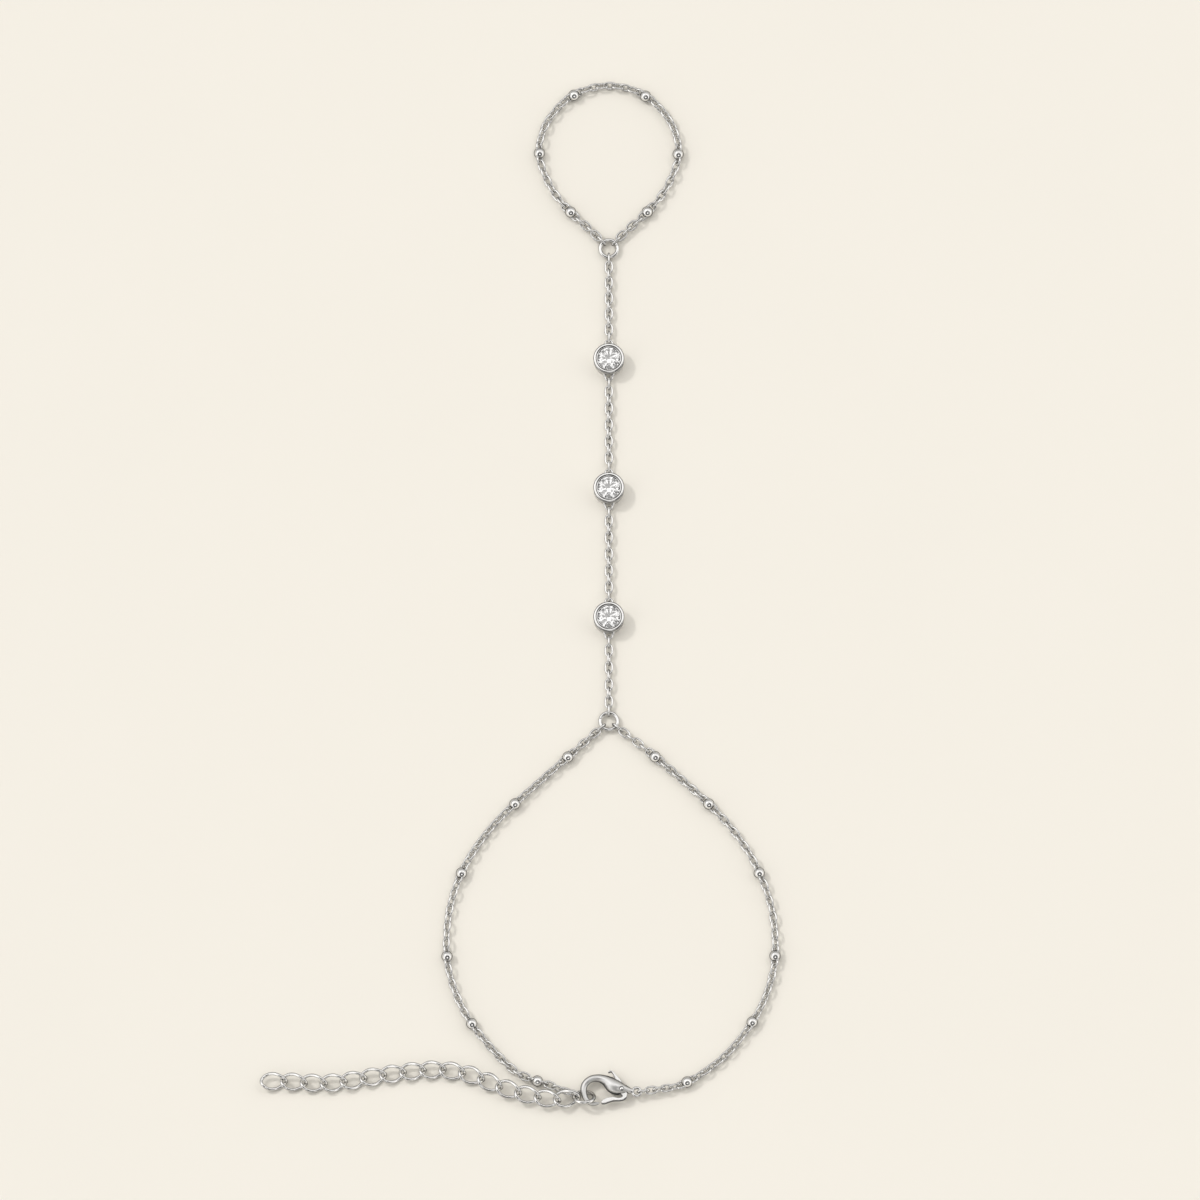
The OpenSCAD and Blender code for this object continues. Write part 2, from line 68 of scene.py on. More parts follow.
MARK_COARSENESS = 0.6
MARK_STRENGTH = 0.5
# How the painted recess shade is found: the rays it casts, and the open-sky range over which it
# fades
RECESS_SHADE_RAYS = 8
RECESS_SHADE_RANGE = (0.12, 0.75)


def node_points(node):
    """The points of a node's mesh."""
    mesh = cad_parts[node].data
    points = np.empty(len(mesh.vertices) * 3, np.float32)
    mesh.vertices.foreach_get("co", points)
    return points.reshape(-1, 3)


def separate_links(node):
    """The points of each loose link of a chain, link by link."""
    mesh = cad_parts[node].data
    points = node_points(node)
    ends = np.empty(len(mesh.edges) * 2, np.int64)
    mesh.edges.foreach_get("vertices", ends)
    same = np.unique(points, axis=0, return_inverse=True)[1].reshape(-1)
    first, last = same[ends.reshape(-1, 2)].T
    link = np.arange(same.max() + 1)
    settled = False
    while not settled:
        lowest = np.minimum(link[first], link[last])
        joined = link.copy()
        np.minimum.at(joined, first, lowest)
        np.minimum.at(joined, last, lowest)
        joined = joined[joined]
        settled = bool((joined == link).all())
        link = joined
    link = link[same]
    return [points[link == k].astype(float) for k in np.unique(link)]


def lie_of(points):
    """How a piece lies: its middle, its long, broad and thin directions, and its half sizes."""
    middle = points.mean(0)
    ways = np.linalg.eigh(np.cov((points - middle).T))[1][:, ::-1]
    if ways[2, 2] < 0:
        ways[:, 2] *= -1
    ways[:, 1] = np.cross(ways[:, 2], ways[:, 0])
    local = (points - middle) @ ways
    low, high = local.min(0), local.max(0)
    return middle + ways @ ((low + high) / 2), ways, (high - low) / 2


def bent_wire(path, out, half, flats, closed=True):
    """A wire bent along path. out points out of it at each step, and half holds its half
    thickness that way and across."""
    ahead = np.roll(path, -1, 0) - np.roll(path, 1, 0)
    if not closed:
        ahead[0] = path[1] - path[0]
        ahead[-1] = path[-1] - path[-2]
    ahead /= np.linalg.norm(ahead, axis=1)[:, None]
    side = np.cross(ahead, out)
    side /= np.linalg.norm(side, axis=1)[:, None]
    up = np.cross(side, ahead)
    turn = (np.arange(flats) + 0.5) * 2 * math.pi / flats
    points = (path[:, None]
              + up[:, None] * (half[:, :1] * np.cos(turn))[..., None]
              + side[:, None] * (half[:, 1:] * np.sin(turn))[..., None])
    steps = len(path)
    faces = [(i * flats + k, i * flats + (k + 1) % flats,
              (i + 1) % steps * flats + (k + 1) % flats, (i + 1) % steps * flats + k)
             for i in range(steps if closed else steps - 1) for k in range(flats)]
    if not closed:
        faces.append(tuple(range(flats))[::-1])
        faces.append(tuple((steps - 1) * flats + k for k in range(flats)))
    return points.reshape(-1, 3), faces


def long_oval(half_length, half_width):
    """The line of a cable link's wire, flat: an oval whose sides are a little straightened."""
    turn = np.linspace(0, 2 * math.pi, LINK_SAMPLES)
    along = np.sign(np.cos(turn)) * np.abs(np.cos(turn)) ** (2 / LINK_FULLNESS) * half_length
    across = np.sign(np.sin(turn)) * np.abs(np.sin(turn)) ** (2 / LINK_FULLNESS) * half_width
    run = np.append(0, np.cumsum(np.hypot(np.diff(along), np.diff(across))))
    even = np.arange(LINK_POINTS) / LINK_POINTS * run[-1]
    return np.column_stack([np.interp(even, run, along), np.interp(even, run, across),
                            np.zeros(LINK_POINTS)])


def cable_link(half):
    """One link of that half length, width and thickness, with a swell where it is soldered."""
    wire = half[2]
    path = long_oval(half[0] - wire, half[1] - wire)
    joint = np.array([0, half[1] - wire, 0])
    away = np.linalg.norm(path - joint, axis=1)
    thick = wire * (1 + SOLDER_SWELL * np.exp(-(away / SOLDER_REACH) ** 2))
    return bent_wire(path, np.tile([0.0, 0, 1], (len(path), 1)),
                     np.column_stack([thick, thick]), LINK_WIRE_FLATS)


def gathered(forms):
    """Several (points, faces) forms as one."""
    points, faces, count = [], [], 0
    for some_points, some_faces in forms:
        points.append(some_points)
        faces += [tuple(count + k for k in face) for face in some_faces]
        count += len(some_points)
    return np.vstack(points), faces


def add_piece(name, form, finish, smooth=True):
    """A piece of the bracelet from its points and faces."""
    mesh = bpy.data.meshes.new(name)
    mesh.from_pydata([tuple(p) for p in form[0]], [], form[1])
    mesh.polygons.foreach_set("use_smooth", [smooth] * len(mesh.polygons))
    mesh.materials.append(finish)
    piece = bpy.data.objects.new(name, mesh)
    bpy.context.scene.collection.objects.link(piece)
    return piece


def sets_in(piece, node, body="bracelet"):
    """The piece takes the place of its node and moves with its body."""
    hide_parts(node)
    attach(piece, body)


def blended(nodes, links, share, first, second):
    """A colour that goes from first to second, which may be a socket, by the share socket."""
    colour = nodes.new("ShaderNodeMix")
    colour.data_type = "RGBA"
    colour.inputs["A"].default_value = first
    if isinstance(second, tuple):
        colour.inputs["B"].default_value = second
    else:
        links.new(second, colour.inputs["B"])
    links.new(share, colour.inputs["Factor"])
    return colour.outputs["Result"]


def spots(nodes, links, where, size, detail):
    """Noise with spots of about that size, at the place that the where socket gives."""
    noise = nodes.new("ShaderNodeTexNoise")
    noise.inputs["Scale"].default_value = 1 / size
    noise.inputs["Detail"].default_value = detail
    links.new(where, noise.inputs["Vector"])
    return noise


def ranged(nodes, links, value, given, wanted=(0, 1)):
    """A value socket whose given range is stretched to the wanted range."""
    stretched = nodes.new("ShaderNodeMapRange")
    stretched.inputs["From Min"].default_value = given[0]
    stretched.inputs["From Max"].default_value = given[1]
    stretched.inputs["To Min"].default_value = wanted[0]
    stretched.inputs["To Max"].default_value = wanted[1]
    links.new(value, stretched.inputs["Value"])
    return stretched


def silver(name, roughness, mark_size, mark_depth, shade_reach, edge):
    """Silver as its tool leaves it: uneven polish and fine marks, with painted shade darkening
    its recesses. roughness is the least and the most of it, and edge says from where to where
    painted shade darkens it as the surface turns away from view."""
    material = bpy.data.materials.new(name)
    material.use_nodes = True
    nodes, links = material.node_tree.nodes, material.node_tree.links
    shader = nodes["Principled BSDF"]
    shader.inputs["Metallic"].default_value = 1
    shader.inputs["Specular Tint"].default_value = EDGE_TINT
    place = nodes.new("ShaderNodeTexCoord")

    cloudy = spots(nodes, links, place.outputs["Object"], CLOUD_SIZE, CLOUD_DETAIL)
    polish = ranged(nodes, links, cloudy.outputs["Fac"], CLOUD_RANGE, roughness)
    links.new(polish.outputs["Result"], shader.inputs["Roughness"])

    stretch = nodes.new("ShaderNodeMapping")
    stretch.inputs["Scale"].default_value = MARK_STRETCH
    stretch.inputs["Rotation"].default_value = MARK_TURN
    links.new(place.outputs["Object"], stretch.inputs["Vector"])
    marks = spots(nodes, links, stretch.outputs["Vector"], mark_size, MARK_DETAIL)
    marks.inputs["Roughness"].default_value = MARK_COARSENESS
    bump = nodes.new("ShaderNodeBump")
    bump.inputs["Strength"].default_value = MARK_STRENGTH
    bump.inputs["Distance"].default_value = mark_depth
    links.new(marks.outputs["Fac"], bump.inputs["Height"])
    links.new(bump.outputs["Normal"], shader.inputs["Normal"])

    # Painted shade: where little open sky is found within reach, the colour darkens toward the
    # recess shade
    open_sky = nodes.new("ShaderNodeAmbientOcclusion")
    open_sky.samples = RECESS_SHADE_RAYS
    open_sky.inputs["Distance"].default_value = shade_reach
    unshaded_share = ranged(nodes, links, open_sky.outputs["AO"], RECESS_SHADE_RANGE)
    # Painted shade: the silver's colour darkens toward the edge shade as the surface turns away
    # from view, standing in for shaded outlines
    turned = nodes.new("ShaderNodeLayerWeight")
    away = ranged(nodes, links, turned.outputs["Facing"], edge)
    away.interpolation_type = "SMOOTHSTEP"
    rounded = blended(nodes, links, away.outputs["Result"], SILVER, PAINTED_EDGE_SHADE)
    colour = blended(nodes, links, unshaded_share.outputs["Result"], PAINTED_RECESS_SHADE, rounded)
    links.new(colour, shader.inputs["Base Color"])
    return material


drawn_wire_silver = silver("drawn_wire_silver", roughness=(0.08, 0.18), mark_size=0.00009,
                           mark_depth=0.000004, shade_reach=0.00032, edge=(0.22, 0.8))
rock = np.random.default_rng(ROCK_SEED)
fine_link_half = lie_of(separate_links("hand_chain_2")[0])[2]
for chain in ("finger_chain", "hand_chain_1", "hand_chain_2", "hand_chain_3", "hand_chain_4",
              "wrist_chain_left", "wrist_chain_right"):
    forms = []
    for points in separate_links(chain):
        middle, ways, half = lie_of(points)
        link, faces = cable_link(half)
        lean = Matrix.Rotation(rock.uniform(-LINK_ROCK, LINK_ROCK), 3, "X")
        forms.append((middle + link @ np.array(lean).T @ ways.T, faces))
    piece = add_piece(chain + "_links", gathered(forms), drawn_wire_silver)
    sets_in(piece, chain)

# Beads. Each is a hollow ball, stamped as two cups that are soldered together, and is then
# soldered over the middle of a link, whose two ends stick out of it and hold the chain.
BEAD_ROWS = 36
BEAD_COLUMNS = 48
BALL_SEAM_DEPTH = 0.012
BALL_SEAM_HALF = math.radians(1.4)
BALL_SEAM_ROWS = (-1, -0.5, 0.5, 1)
SOLDER_COLLAR = 0.5
COLLAR_REACH = 0.00009
EYE_BEND_POINTS = 17
LINK_STRAIGHT_POINTS = 14
LINK_STARTS_AT = 0.75


def spun(profile, columns):
    """A form turned round the x axis from rows of (along, radius), closed at both ends."""
    turn = np.arange(columns) * 2 * math.pi / columns
    rows = len(profile)
    points = [(x, r * math.cos(a), r * math.sin(a)) for x, r in profile for a in turn]
    faces = [(i * columns + k, i * columns + (k + 1) % columns,
              (i + 1) * columns + (k + 1) % columns, (i + 1) * columns + k)
             for i in range(rows - 1) for k in range(columns)]
    faces.append(tuple(range(columns))[::-1])
    faces.append(tuple((rows - 1) * columns + k for k in range(columns)))
    return np.array(points), faces


def ball(radius):
    """A bead's ball, with the fine seam of its two cups round the middle."""
    turn = np.linspace(0, math.pi, BEAD_ROWS + 1)[1:-1]
    turn = np.sort(np.append(turn, math.pi / 2 + np.array(BALL_SEAM_ROWS) * BALL_SEAM_HALF))
    from_seam = (turn - math.pi / 2) / (BALL_SEAM_HALF / 2)
    seam = 1 - BALL_SEAM_DEPTH * np.exp(-from_seam ** 2)
    return spun(np.stack([-radius * seam * np.cos(turn), radius * seam * np.sin(turn)], 1),
                BEAD_COLUMNS)


def link_end(reach, ball_radius, way):
    """The end of a bead's link on one side, thickened by solder where it enters the ball."""
    wire = fine_link_half[2]
    bend = fine_link_half[1] - wire
    mouth = math.sqrt(ball_radius ** 2 - bend ** 2)
    straight = reach - wire - bend
    turn = np.linspace(-math.pi / 2, math.pi / 2, EYE_BEND_POINTS)
    run = np.linspace(mouth * LINK_STARTS_AT, straight, LINK_STRAIGHT_POINTS)[:-1]
    line = np.vstack([np.column_stack([run, np.full(len(run), -bend)]),
                      np.column_stack([straight + bend * np.cos(turn), bend * np.sin(turn)]),
                      np.column_stack([run[::-1], np.full(len(run), bend)])])
    thick = wire * (1 + SOLDER_COLLAR * np.exp(-((line[:, 0] - mouth) / COLLAR_REACH) ** 2))
    path = np.column_stack([line[:, 0] * way, line[:, 1] * way, np.zeros(len(line))])
    return bent_wire(path, np.tile([0.0, 0, 1], (len(path), 1)),
                     np.column_stack([thick, thick]), LINK_WIRE_FLATS, closed=False)


ball_silver = silver("ball_silver", roughness=(0.04, 0.1), mark_size=0.0002,
                     mark_depth=0.000003, shade_reach=0.0006, edge=(0.22, 0.8))
bead_nodes = [name for name in sorted(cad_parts) if "_bead_" in name]
for bead in bead_nodes:
    middle, ways, half = lie_of(node_points(bead).astype(float))
    form = gathered([ball(half[2]), link_end(half[0], half[2], 1),
                     link_end(half[0], half[2], -1)])
    piece = add_piece(bead + "_on_link", (middle + form[0] @ ways.T, form[1]), ball_silver)
    sets_in(piece, bead)

# Jump rings. Each is round wire sawn off a coil, closed end to end and soldered, and the
# joint still shows as a hair line. Two lie flat between the chains, and the larger one, which
# the clasp hooks into, leans over.
RING_STEPS = 128
RING_STEPS_CROWD = 1.5
RING_WIRE_FLATS = 20
JOINT_DEPTH = 0.16
JOINT_REACH = 0.00004
JOINT_SIDES = (("finger_ring", (1, 0.4, 0)), ("wrist_ring", (-1, 0.3, 0)),
               ("end_ring", (0.4, -1, 0)))


def jump_ring(points, joint_toward):
    """A ring in the place of those points, with its joint on the side of joint_toward."""
    middle, ways, half = lie_of(points)
    axis = Vector(ways[:, 2])
    start = Vector(joint_toward) - axis * axis.dot(Vector(joint_toward))
    start.normalize()
    across = axis.cross(start)
    wire = half[2]
    radius = half[0] - wire
    share = np.linspace(-1, 1, RING_STEPS, endpoint=False)
    turn = math.pi * np.sign(share) * np.abs(share) ** RING_STEPS_CROWD
    out = np.outer(np.cos(turn), start) + np.outer(np.sin(turn), across)
    thick = wire * (1 - JOINT_DEPTH * np.exp(-(turn * radius / JOINT_REACH) ** 2))
    return bent_wire(middle + radius * out, out, np.column_stack([thick, thick]),
                     RING_WIRE_FLATS)


ring_silver = silver("ring_silver", roughness=(0.07, 0.16), mark_size=0.00015,
                     mark_depth=0.000004, shade_reach=0.0007, edge=(0.22, 0.8))
for ring, joint_toward in JOINT_SIDES:
    form = jump_ring(node_points(ring).astype(float), joint_toward)
    sets_in(add_piece(ring + "_wire", form, ring_silver), ring)

# Settings. Each is a turned silver cup. A stone drops into its seat and the inner lip is
# rubbed down over it. The rim outside it is cut bright and the wall is left softer. A wire
# eye is soldered on at either side for the chain.
CUP_COLUMNS = 112
CUP_MIDDLE = 0.00002
CUP_BACK_ROW = 0.5
FOOT_ROUND = 0.00016
FOOT_STEPS = 7
WAIST = 0.00006
# How far in the wall is, in waists, and how high that is, as a share of the cup's height
WALL_ROWS = ((1.2, 0.3), (1.3, 0.5), (0.8, 0.7))
RIM_ROUND = 0.0002
RIM_STARTS_AT = -10
RIM_STEPS = 12
RIM_INNER_ROUND = 0.00007
RIM_INNER_STEPS = 9
GROOVE_WIDTH = 0.00004
GROOVE_DEPTH = 0.00026
LIP_ROUND = 0.0001
LIP_DROP = 0.00008
LIP_ENDS_AT = 205
LIP_STEPS = 16
# Where the lip's inside ends, as shares of the stone's radius and of the height above it
LIP_FOOT = (0.97, 0.35)
SEAT_PLAY = 0.00004
SEAT_WALL = 0.00012
SEAT_LEVEL = 0.71
# Where the cone under the stone bends, as shares of the stone's radius and of the depth
CONE_BEND = (0.55, 0.5)
BRIGHT_SHARE = 0.87
CUP_EYE_BEND_POINTS = 23
EYE_FOOT_POINTS = 8
EYE_FOOT_SPREAD = 1.35
EYE_FOOT_SINK = 2
EYE_FOOT_SWELL = 0.35
EYE_FOOT_REACH = 1.5


def arc(centre, radius, start, end, count):
    """Points of (radius, height) along an arc, at angles in degrees from outward to up."""
    turn = np.radians(np.linspace(start, end, count))
    return [(centre[0] + radius * math.cos(a), centre[1] + radius * math.sin(a)) for a in turn]


def cup_profile(outside, height, stone_radius, girdle, floor):
    """The cup's section from the middle of its back, up its wall, over its rim and lip, and
    down the seat that the stone lies in."""
    rim = (outside - RIM_ROUND, height - RIM_ROUND)
    lip = (stone_radius + LIP_ROUND / 2, height - LIP_DROP - LIP_ROUND)
    groove = lip[0] + LIP_ROUND
    inner = (groove + GROOVE_WIDTH + RIM_INNER_ROUND, height - RIM_INNER_ROUND)
    seat = stone_radius + SEAT_PLAY
    rows = [(CUP_MIDDLE, 0), (outside * CUP_BACK_ROW, 0)]
    rows += arc((outside - WAIST - FOOT_ROUND, FOOT_ROUND), FOOT_ROUND, -90, 0, FOOT_STEPS)
    rows += [(outside - WAIST * waists, height * share) for waists, share in WALL_ROWS]
    rows += arc(rim, RIM_ROUND, RIM_STARTS_AT, 90, RIM_STEPS)
    rows += arc(inner, RIM_INNER_ROUND, 90, 180, RIM_INNER_STEPS)
    rows += [(groove + GROOVE_WIDTH, height - GROOVE_DEPTH), (groove, height - GROOVE_DEPTH)]
    rows += arc(lip, LIP_ROUND, 0, LIP_ENDS_AT, LIP_STEPS)
    rows += [(stone_radius * LIP_FOOT[0], girdle + (height - girdle) * LIP_FOOT[1]),
             (seat, girdle + SEAT_WALL), (seat, girdle),
             (stone_radius * CONE_BEND[0], floor + (girdle - floor) * CONE_BEND[1]),
             (CUP_MIDDLE, floor)]
    return rows


def upright(form):
    """A turned form stood up, so that its axis is along z."""
    return np.stack([form[0][:, 1], form[0][:, 2], form[0][:, 0]], 1), form[1]


def moved(form, by):
    """The form, moved."""
    return form[0] + np.array(by), form[1]


def eye(reach, wall, height, way):
    """A wire eye that stands out of the cup's wall to reach, with its feet spread on it."""
    wire = fine_link_half[2]
    bend = fine_link_half[1] - wire
    turn = np.linspace(-math.pi / 2, math.pi / 2, CUP_EYE_BEND_POINTS)
    centre = reach - wire - bend
    foot = wall - EYE_FOOT_SINK * wire
    run = np.linspace(0, 1, EYE_FOOT_POINTS)[:-1]
    spread = bend * (EYE_FOOT_SPREAD + (1 - EYE_FOOT_SPREAD) * run)
    along = foot + (centre - foot) * run
    line = np.vstack([np.column_stack([-spread, along]),
                      np.column_stack([bend * np.sin(turn), centre + bend * np.cos(turn)]),
                      np.column_stack([spread[::-1], along[::-1]])])
    near = np.clip((line[:, 1] - wall) / (EYE_FOOT_REACH * wire), 0, 4)
    thick = wire * (1 + EYE_FOOT_SWELL * np.exp(-near ** 2))
    path = np.column_stack([line[:, 0] * way, line[:, 1] * way, np.full(len(line), height)])
    return bent_wire(path, np.tile([0.0, 0, 1], (len(path), 1)),
                     np.column_stack([thick, thick]), LINK_WIRE_FLATS, closed=False)


rim_silver = silver("rim_silver", roughness=(0.06, 0.14), mark_size=0.00025,
                    mark_depth=0.000004, shade_reach=0.0003, edge=(0.05, 0.36))
wall_silver = silver("wall_silver", roughness=(0.42, 0.52), mark_size=0.00025,
                     mark_depth=0.000004, shade_reach=0.00003, edge=(0.9, 1.5))
for number in (1, 2, 3):
    low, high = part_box(f"bezel_{number}")
    stone_low, stone_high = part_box(f"stone_{number}")
    outside = (high.x - low.x) / 2
    middle = ((low.x + high.x) / 2, (low.y + high.y) / 2, 0)
    stone_radius = (stone_high.x - stone_low.x) / 2
    girdle = stone_low.z + (stone_high.z - stone_low.z) * SEAT_LEVEL
    rows = cup_profile(outside, high.z, stone_radius, girdle, stone_low.z - SEAT_PLAY)
    cup = upright(spun([(level, radius) for radius, level in rows], CUP_COLUMNS))
    reach = (high.y - low.y) / 2
    eyes = [eye(reach, outside - WAIST, fine_link_half[1], way) for way in (1, -1)]
    form = moved(gathered([cup] + eyes), middle)
    piece = add_piece(f"setting_{number}", form, rim_silver)
    piece.data.materials.append(wall_silver)
    piece.data.materials.append(drawn_wire_silver)
    wall_finish, eye_finish = 1, 2
    for face in piece.data.polygons:
        if face.index >= len(cup[1]):
            face.material_index = eye_finish
        elif face.center.z < high.z * BRIGHT_SHARE:
            face.material_index = wall_finish
    sets_in(piece, f"bezel_{number}")

# Stones. Each is a clear round brilliant with a flat table, eight stars, eight kites, split
# facets above and below the girdle, and eight long facets down to the culet.
TABLE = 0.57
STAR = 0.77
LOWER = 0.3
GIRDLE_STARTS_AT = 0.705
GIRDLE_SHARE = 0.05
CLEAR = (0.985, 0.99, 1, 1)
STONE_IOR = 2.15
WEAR_SIZE = 0.0006
WEAR_DETAIL = 4
WEAR_RANGE = (0.45, 0.75)
WEAR_ROUGHNESS = (0, 0.03)


def brilliant(radius, low, high):
    """The stone's points and facets, cut so that kites and long facets are flat."""
    girdle_low = low + (high - low) * GIRDLE_STARTS_AT
    girdle_high = girdle_low + (high - low) * GIRDLE_SHARE
    crown = high - girdle_high
    pavilion = girdle_low - low
    half_step = math.cos(math.pi / 8)

    def ring(share, height, shift, count=8):
        step = 2 * math.pi / count
        return [(share * radius * math.cos((i + shift) * step),
                 share * radius * math.sin((i + shift) * step), height) for i in range(count)]

    star_height = girdle_high + crown * (1 - STAR * half_step) / (1 - TABLE)
    lower_height = girdle_low - pavilion * (1 - LOWER * half_step)
    points = (ring(TABLE, high, 0) + ring(STAR, star_height, 0.5)
              + ring(1, girdle_high, 0, 16) + ring(1, girdle_low, 0, 16)
              + ring(LOWER, lower_height, 0.5) + [(0, 0, low)])
    table, star, upper, under, deep, culet = 0, 8, 16, 32, 48, 56
    faces = [tuple(range(table, table + 8))]
    for i in range(8):
        after, before = (i + 1) % 8, (i - 1) % 8
        edge = [(2 * i + k) % 16 for k in range(3)]
        faces.append((table + i, star + i, table + after))
        faces.append((table + i, star + before, upper + edge[0], star + i))
        faces.append((star + i, upper + edge[0], upper + edge[1]))
        faces.append((star + i, upper + edge[1], upper + edge[2]))
        faces.append((deep + i, under + edge[1], under + edge[0]))
        faces.append((deep + i, under + edge[2], under + edge[1]))
        faces.append((culet, deep + i, under + edge[0], deep + before))
    for i in range(16):
        after = (i + 1) % 16
        faces.append((upper + i, under + i, under + after, upper + after))
    return np.array(points), faces


def clear_stone():
    """Clear cut stone, its polish worn a little in places."""
    material = bpy.data.materials.new("clear_stone")
    material.use_nodes = True
    nodes, links = material.node_tree.nodes, material.node_tree.links
    shader = nodes["Principled BSDF"]
    shader.inputs["Base Color"].default_value = CLEAR
    shader.inputs["Transmission Weight"].default_value = 1
    shader.inputs["IOR"].default_value = STONE_IOR
    place = nodes.new("ShaderNodeTexCoord")
    wear = spots(nodes, links, place.outputs["Object"], WEAR_SIZE, WEAR_DETAIL)
    polish = ranged(nodes, links, wear.outputs["Fac"], WEAR_RANGE, WEAR_ROUGHNESS)
    links.new(polish.outputs["Result"], shader.inputs["Roughness"])
    return material


stone_finish = clear_stone()
for number in (1, 2, 3):
    low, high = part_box(f"stone_{number}")
    middle = ((low.x + high.x) / 2, (low.y + high.y) / 2, 0)
    form = moved(brilliant((high.x - low.x) / 2, low.z, high.z), middle)
    piece = add_piece(f"brilliant_{number}", form, stone_finish, smooth=False)
    sets_in(piece, f"stone_{number}")

# Extension chain. Heavier round wire is bent into wide oval links, which are soldered and
# twisted so that they lie flat on each other. Its free end is a plain last link.
CURB_WIRE = 0.00045
CURB_LENGTH = 0.00405
CURB_WIDTH = 0.00275
CURB_TWIST = math.radians(45)
CURB_STEPS = 84
CURB_FLATS = 16
CURB_SOLDER = 0.06
CURB_SOLDER_REACH = 0.0002
CURB_SIZING = 0.01


def curb_link(size):
    """One twisted link, with its soldered joint on one side."""
    wire = CURB_WIRE / 2
    turn = np.arange(CURB_STEPS) * 2 * math.pi / CURB_STEPS
    along = np.cos(turn)
    broad = (CURB_WIDTH / 2 - wire) * np.sin(turn)
    lean = CURB_TWIST * along
    path = np.column_stack([(CURB_LENGTH / 2 - wire) * along,
                            broad * np.cos(lean), broad * np.sin(lean)])
    out = path / np.linalg.norm(path, axis=1)[:, None]
    away = np.linalg.norm(path - path[CURB_STEPS // 4], axis=1)
    thick = wire * (1 + CURB_SOLDER * np.exp(-(away / CURB_SOLDER_REACH) ** 2))
    points, faces = bent_wire(path, out, np.column_stack([thick, thick]), CURB_FLATS)
    return points * size, faces


curb_silver = silver("curb_silver", roughness=(0.06, 0.15), mark_size=0.00018,
                     mark_depth=0.000005, shade_reach=0.0004, edge=(0.22, 0.78))
forms = []
for points in separate_links("extension_chain"):
    middle, ways, half = lie_of(points)
    link, faces = curb_link(1 - rock.uniform(0, CURB_SIZING))
    forms.append((middle + link @ ways.T, faces))
piece = add_piece("extension_chain_links", gathered(forms), curb_silver)
sets_in(piece, "extension_chain")

# Clasp body. A lobster claw, its body and its eye are cast in one, with a slot through the
# body for the lever. Tumbling rounds its edges and leaves it satin, but for the eye, which is
# polished.
MILLIMETRE = 0.001
CLASP_LENGTH = 9
CLASP_WIDTH = 2.2
CLASP_THICKNESS = 2.4
EYE_RADIUS = 0.59
EYE_WIRE = 0.21
EYE_STEPS = 96
EYE_FLATS = 24
EYE_POLISH = 0.00086
CLASP_SECTION_STEPS = 10
CLASP_FLATS = 40
CREST = 1.08
SLOT_PLAY = 0.11
SLOT_STEPS = 6
SLOT_BOSS_RADIUS = 0.416
SLOT_BOSS_HALF = 0.4
SLOT_BOSS_FLATS = 32
LEVER_SWING = math.radians(25)
RIVET_HOLE = 0.32
RIVET_HOLE_HALF = 2
RIVET_HOLE_FLATS = 40
CAST_GRAIN = 0.036
CAST_ROUNDS = 16
TUMBLE = 0.5
# Sections from the eye to the claw's tip: along, across, width, thickness, as shares
CLASP_SECTIONS = [(-0.06, 0.004, 0.25, 0.22), (-0.11, 0.018, 0.4, 0.42),
                  (-0.165, 0.032, 0.55, 0.68), (-0.227, 0.044, 0.78, 0.88),
                  (-0.3, 0.064, 0.95, 0.99), (-0.373, 0.098, 1, 0.96),
                  (-0.434, 0.145, 0.85, 0.86), (-0.5, 0.189, 0.65, 0.74),
                  (-0.6, 0.22, 0.5, 0.6), (-0.71, 0.21, 0.45, 0.5),
                  (-0.795, 0.153, 0.44, 0.44), (-0.837, 0.07, 0.43, 0.41),
                  (-0.833, -0.033, 0.38, 0.36), (-0.8, -0.116, 0.34, 0.33),
                  (-0.745, -0.174, 0.3, 0.3), (-0.68, -0.194, 0.26, 0.27),
                  (-0.625, -0.188, 0.22, 0.24), (-0.593, -0.178, 0.12, 0.14)]
# Where the rivet is from the eye, along and across, as shares of the clasp's length
RIVET_SHARE = (-0.238, 0.03, 0)


def smooth_rows(rows, steps):
    """Rows on the smooth curve that passes through the given ones."""
    ends = [rows[0]] + list(rows) + [rows[-1]]
    curve = []
    for i in range(len(rows) - 1):
        a, b, c, d = [np.array(row, float) for row in ends[i:i + 4]]
        for k in range(steps):
            t = k / steps
            curve.append(b + 0.5 * t * (c - a + t * (2 * a - 5 * b + 4 * c - d
                                                     + t * (3 * b - a - 3 * c + d))))
    return np.array(curve + [np.array(rows[-1], float)])


def claw():
    """The claw, body and neck, in millimetres from the middle of the eye, with a soft crest."""
    rows = smooth_rows(CLASP_SECTIONS, CLASP_SECTION_STEPS)
    rows = rows * (CLASP_LENGTH, CLASP_LENGTH, CLASP_WIDTH / 2, CLASP_THICKNESS / 2)
    ahead = np.gradient(rows[:, :2], axis=0)
    ahead /= np.linalg.norm(ahead, axis=1)[:, None]
    turn = (np.arange(CLASP_FLATS) + 0.5) * 2 * math.pi / CLASP_FLATS
    across = np.sign(np.cos(turn)) * np.abs(np.cos(turn)) ** CREST
    points = np.stack([rows[:, :1] - ahead[:, 1:] * across * rows[:, 2:3],
                       rows[:, 1:2] + ahead[:, :1] * across * rows[:, 2:3],
                       np.sin(turn) * rows[:, 3:]], 2)
    flats = CLASP_FLATS
    steps = len(rows)
    faces = [(i * flats + k, (i + 1) * flats + k,
              (i + 1) * flats + (k + 1) % flats, i * flats + (k + 1) % flats)
             for i in range(steps - 1) for k in range(flats)]
    faces.append(tuple(range(flats)))
    faces.append(tuple((steps - 1) * flats + k for k in range(flats))[::-1])
    return points.reshape(-1, 3), faces


